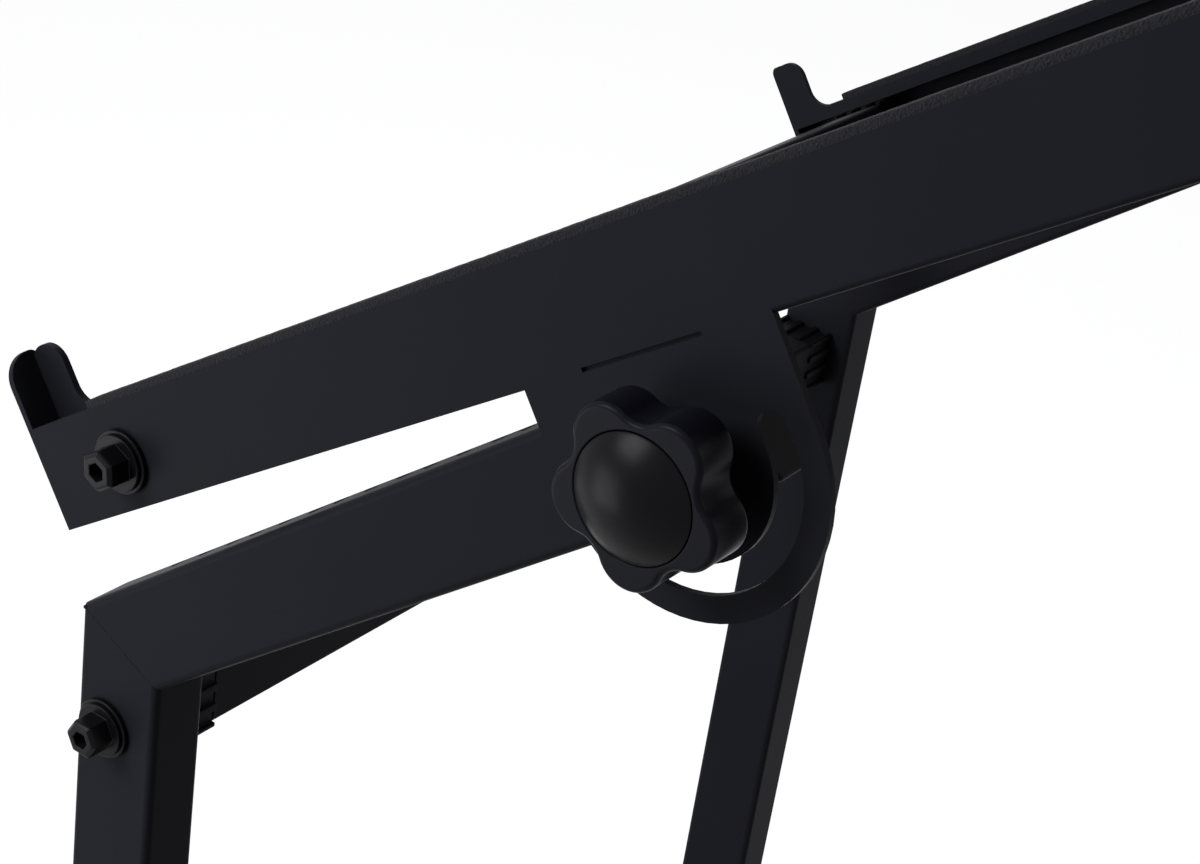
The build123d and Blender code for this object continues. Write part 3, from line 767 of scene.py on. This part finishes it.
@dataclass
class TiltingPlatform(SubAssembly):
    """The two arms with their crossbars and felted strips."""

    strip_node: str = "arm_pads"
    strip_step: float = 1.6 * MM
    fuzz: float = 0.22 * MM
    fuzz_scale: float = 900.0
    crown: float = 0.35 * MM
    crown_points: int = 5

    def build(self) -> list[bpy.types.Object]:
        """Builds the arms' metal as usual and the strips as felt.

        Returns:
            The new pieces.
        """
        self.nodes = tuple(node for node in self.nodes if node != self.strip_node)
        return super().build()

    def add_detail(self) -> None:
        """Lays the felted strips on the flanges."""
        mount = next(row for row in FRAME["record"]["mounts"] if row["name"] == "platform_pad_right")
        up = Vector(mount["axis"]).normalized()
        along = Vector((0.0, up.z, -up.y))
        points = [vertex.co.copy() for vertex in FRAME["nodes"][self.strip_node].data.vertices]
        work = bmesh.new()
        for side in Side:
            mine = [point for point in points if point.x * side.sign > 0]
            self.strip(work, mine, up, along)
        mesh = bpy.data.meshes.new("felted_strips")
        bmesh.ops.recalc_face_normals(work, faces=work.faces)
        work.to_mesh(mesh)
        work.free()
        piece = bpy.data.objects.new("felted_strips", mesh)
        bpy.context.scene.collection.objects.link(piece)
        MeshTools.smooth(piece)
        MeshTools.dress(piece, FELT_STRIP)
        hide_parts(self.strip_node)
        self.keep(piece, FELT_STRIP)

    def strip(self, work: bmesh.types.BMesh, points: list[Vector], up: Vector, along: Vector) -> None:
        """Adds one strip with soft corners and an uneven, felted skin.

        Args:
            work: the mesh to add to.
            points: the solid strip's corners.
            up: the flange's outward normal.
            along: the way the arm runs.
        """
        xs = [point.x for point in points]
        heights = [point.dot(up) for point in points]
        reach = [point.dot(along) for point in points]
        low_x, high_x = min(xs), max(xs)
        floor, roof = min(heights), max(heights)
        steps = int((max(reach) - min(reach)) / self.strip_step)
        corner = self.crown
        outline = [(low_x, floor), (low_x, roof - 2 * corner), (low_x + corner, roof - corner / 2)]
        for index in range(1, self.crown_points):
            share = index / self.crown_points
            outline.append((low_x + corner + (high_x - low_x - 2 * corner) * share, roof))
        outline += [(high_x - corner, roof - corner / 2), (high_x, roof - 2 * corner), (high_x, floor)]
        rings = []
        for step in range(steps + 1):
            distance = min(reach) + (max(reach) - min(reach)) * step / steps
            ring = []
            for x, height in outline:
                seat = Vector((x, 0.0, 0.0)) + up * height + along * distance
                lift = noise.noise(seat * self.fuzz_scale) * self.fuzz
                top = height > floor + corner
                ring.append(work.verts.new(seat - up * abs(lift) if top else seat))
            rings.append(ring)
        for first, second in zip(rings, rings[1:]):
            for index in range(len(outline)):
                after = (index + 1) % len(outline)
                work.faces.new((first[index], first[after], second[after], second[index]))
        work.faces.new(rings[0])
        work.faces.new(list(reversed(rings[-1])))


@dataclass
class ClampKnob(SubAssembly):
    """The lobed knob with its domed plug."""

    edge_mm: float = 0.5
    dome_edge_mm: float = 0.3

    def edge_of(self, node: str) -> float:
        """A crisp rim for the plug and a soft one for the lobes.

        Args:
            node: the name of the solid.

        Returns:
            The width in mm.
        """
        return self.dome_edge_mm if "dome" in node else self.edge_mm


@dataclass
class CasterWheel(SubAssembly):
    """A tyre on a ribbed hub."""

    ribs: int = 8
    boss_radius: float = 7 * MM
    rim_radius: float = 16 * MM
    rib_depth: float = 12.0 * MM
    rib_width: float = 1.8 * MM
    seat: float = 0.5 * MM

    def add_detail(self) -> None:
        """Adds the hub's moulded ribs."""
        hub = next(node for node in self.nodes if "hub" in node)
        low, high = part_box(hub)
        middle = (Vector(low) + Vector(high)) / 2
        tree = RepeatTool.spokes(f"{self.body}_ribs", self.ribs, self.boss_radius - self.seat,
                                 self.rim_radius + self.seat, (self.rib_depth, self.rib_width))
        finish = self.finish_of(hub)
        self.keep(RepeatTool.made(f"{self.body}_ribs", tree, finish, Matrix.Translation(middle)), finish)


@dataclass
class CasterFork(SubAssembly):
    """The turning half of a caster: its fork and axle."""

    edge_mm: float = 0.3


@dataclass(frozen=True)
class PhotoCamera:
    """The place and lens that match the photograph's view.

    The place is measured from the rails' front top edge, midway between the two sides.
    """

    from_rail_edge: tuple[float, float, float] = (0.7920, 0.5433, 0.4952)
    right: tuple[float, float, float] = (-0.5870, 0.7982, 0.1352)
    down: tuple[float, float, float] = (0.3096, 0.3756, -0.8735)
    forward: tuple[float, float, float] = (-0.7481, -0.4709, -0.4676)
    focal_pixels: float = 2535.0
    frame_pixels: float = 1200.0
    sensor_mm: float = 36.0
    near_clip: float = 10.0 * MM

    def build(self) -> bpy.types.Object:
        """Creates the camera and makes it the scene's own.

        Returns:
            The camera object.
        """
        data = bpy.data.cameras.new("photo_camera")
        data.sensor_width = self.sensor_mm
        data.lens = self.focal_pixels * self.sensor_mm / self.frame_pixels
        data.clip_start = self.near_clip
        camera = bpy.data.objects.new("photo_camera", data)
        bpy.context.scene.collection.objects.link(camera)
        back = -Vector(self.forward).normalized()
        side = Vector(self.right).normalized()
        up = back.cross(side).normalized()
        side = up.cross(back).normalized()
        turn = Matrix((side, up, back)).transposed().to_4x4()
        low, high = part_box("post_rail_right")
        edge = Vector((0.0, low[1], high[2]))
        camera.matrix_world = Matrix.Translation(edge + Vector(self.from_rail_edge)) @ turn
        bpy.context.scene.camera = camera
        return camera


@dataclass(frozen=True)
class SoftBox:
    """One soft rectangular lamp."""

    name: str
    place: tuple[float, float, float]
    aim: tuple[float, float, float]
    width: float
    height: float
    power: float
    colour: tuple[float, float, float] = (1.0, 1.0, 1.0)

    def build(self) -> bpy.types.Object:
        """Creates the lamp and points it at its aim.

        Returns:
            The lamp object.
        """
        data = bpy.data.lights.new(self.name, "AREA")
        data.shape = "RECTANGLE"
        data.size = self.width
        data.size_y = self.height
        data.energy = self.power
        data.color = self.colour
        lamp = bpy.data.objects.new(self.name, data)
        lamp.location = self.place
        way = Vector(self.aim) - Vector(self.place)
        lamp.rotation_euler = way.to_track_quat("-Z", "Y").to_euler()
        bpy.context.scene.collection.objects.link(lamp)
        return lamp


@dataclass(frozen=True)
class Studio:
    """The pale floor, the white surround and the lamps."""

    floor_half: float = 30.0
    floor_colour: tuple[float, float, float] = (0.36, 0.36, 0.37)
    shadow_share: tuple[float, float, float] = (0.25, 0.25, 0.25)
    white_share: float = 0.93
    open_white: float = 1.0
    surround: tuple[float, float, float] = (0.80, 0.82, 0.90)
    surround_level: float = 0.08
    lamps: tuple[SoftBox, ...] = (
        SoftBox("low_key_box", (1.25, -0.95, 0.45), (0.22, 0.0, 0.92), 0.8, 0.8, 7.2, (0.96, 0.97, 1.0)),
        SoftBox("high_key_box", (1.5, -0.9, 1.9), (0.2, 0.0, 0.95), 0.9, 0.9, 24.8, (0.97, 0.97, 1.0)),
        SoftBox("rim_box", (-1.8, -1.6, 2.2), (0.0, 0.0, 0.9), 1.2, 1.2, 10.0, (0.97, 0.97, 1.0)),
        SoftBox("rear_fill", (-1.4, 1.8, 1.8), (0.0, 0.0, 0.7), 1.2, 1.2, 5.0, (0.97, 0.97, 1.0)),
    )

    def build(self) -> None:
        """Creates the world, the floor and the lamps."""
        world = bpy.data.worlds.new("studio_surround")
        world.use_nodes = True
        world.node_tree.nodes.clear()
        nodes = NodeWriter(world.node_tree)
        seen = self.seen_directly(nodes)
        glow = nodes.add("ShaderNodeBackground")
        glow.inputs["Color"].default_value = (*self.surround, 1.0)
        glow.inputs["Strength"].default_value = self.surround_level
        white = nodes.add("ShaderNodeBackground")
        white.inputs["Color"].default_value = (1.0, 1.0, 1.0, 1.0)
        white.inputs["Strength"].default_value = self.open_white
        mix = nodes.add("ShaderNodeMixShader")
        output = nodes.add("ShaderNodeOutputWorld")
        nodes.link(seen, mix.inputs["Fac"])
        nodes.link(glow.outputs["Background"], mix.inputs[1])
        nodes.link(white.outputs["Background"], mix.inputs[2])
        nodes.link(mix.outputs["Shader"], output.inputs["Surface"])
        bpy.context.scene.world = world
        bpy.context.scene.view_settings.view_transform = "Standard"
        self.floor()
        for lamp in self.lamps:
            lamp.build()

    @staticmethod
    def seen_directly(nodes: NodeWriter) -> bpy.types.NodeSocket:
        """1 for camera, mirror and see-through rays, and 0 for the rays that light the object.

        Args:
            nodes: the writer of the tree.

        Returns:
            The mask's socket.
        """
        ray = nodes.add("ShaderNodeLightPath")
        mirror = nodes.add("ShaderNodeMath", operation="MAXIMUM")
        either = nodes.add("ShaderNodeMath", operation="MAXIMUM")
        nodes.link(ray.outputs["Is Glossy Ray"], mirror.inputs[0])
        nodes.link(ray.outputs["Is Transmission Ray"], mirror.inputs[1])
        nodes.link(ray.outputs["Is Camera Ray"], either.inputs[0])
        nodes.link(mirror.outputs["Value"], either.inputs[1])
        return either.outputs["Value"]

    def floor(self) -> bpy.types.Object:
        """A plain pale floor.

        Returns:
            The floor object.
        """
        half = self.floor_half
        mesh = bpy.data.meshes.new("pale_floor")
        corners = [(-half, -half, 0.0), (half, -half, 0.0), (half, half, 0.0), (-half, half, 0.0)]
        mesh.from_pydata(corners, [], [(0, 1, 2, 3)])
        floor = bpy.data.objects.new("pale_floor", mesh)
        bpy.context.scene.collection.objects.link(floor)
        material = bpy.data.materials.new("pale_floor")
        material.use_nodes = True
        material.node_tree.nodes.clear()
        nodes = NodeWriter(material.node_tree)
        seen = self.seen_directly(nodes)
        matt = nodes.add("ShaderNodeBsdfDiffuse")
        matt.inputs["Color"].default_value = (*self.floor_colour, 1.0)
        faint = nodes.add("ShaderNodeBsdfDiffuse")
        faint.inputs["Color"].default_value = (*self.shadow_share, 1.0)
        white = nodes.add("ShaderNodeEmission")
        white.inputs["Strength"].default_value = self.white_share
        lifted = nodes.add("ShaderNodeAddShader")
        mix = nodes.add("ShaderNodeMixShader")
        output = nodes.add("ShaderNodeOutputMaterial")
        nodes.link(faint.outputs["BSDF"], lifted.inputs[0])
        nodes.link(white.outputs["Emission"], lifted.inputs[1])
        nodes.link(seen, mix.inputs["Fac"])
        nodes.link(matt.outputs["BSDF"], mix.inputs[1])
        nodes.link(lifted.outputs["Shader"], mix.inputs[2])
        nodes.link(mix.outputs["Shader"], output.inputs["Surface"])
        mesh.materials.append(material)
        return floor


def sub_assemblies() -> list[SubAssembly]:
    """One sub-assembly for each moving body and for the frame.

    Returns:
        The sub-assemblies, in the record's order.
    """
    bodies = FRAME["record"]["behaviour"]["bodies"]
    kinds = {"frame": RackFrame, "platform": TiltingPlatform, "knob": ClampKnob, "wheel": CasterWheel,
             "fork": CasterFork}
    made = []
    for body, nodes in bodies.items():
        kind = next(kinds[word] for word in kinds if word in body)
        made.append(kind(body, tuple(nodes)))
    return made


def main() -> None:
    """Builds the camera, the studio and every sub-assembly."""
    logging.basicConfig(level=logging.INFO)
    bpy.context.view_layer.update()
    PhotoCamera().build()
    Studio().build()
    for group in sub_assemblies():
        for piece in group.build():
            LOG.info("%s on %s: %d faces", piece.name, group.body, len(piece.data.polygons))


if __name__ == "__main__":
    main()
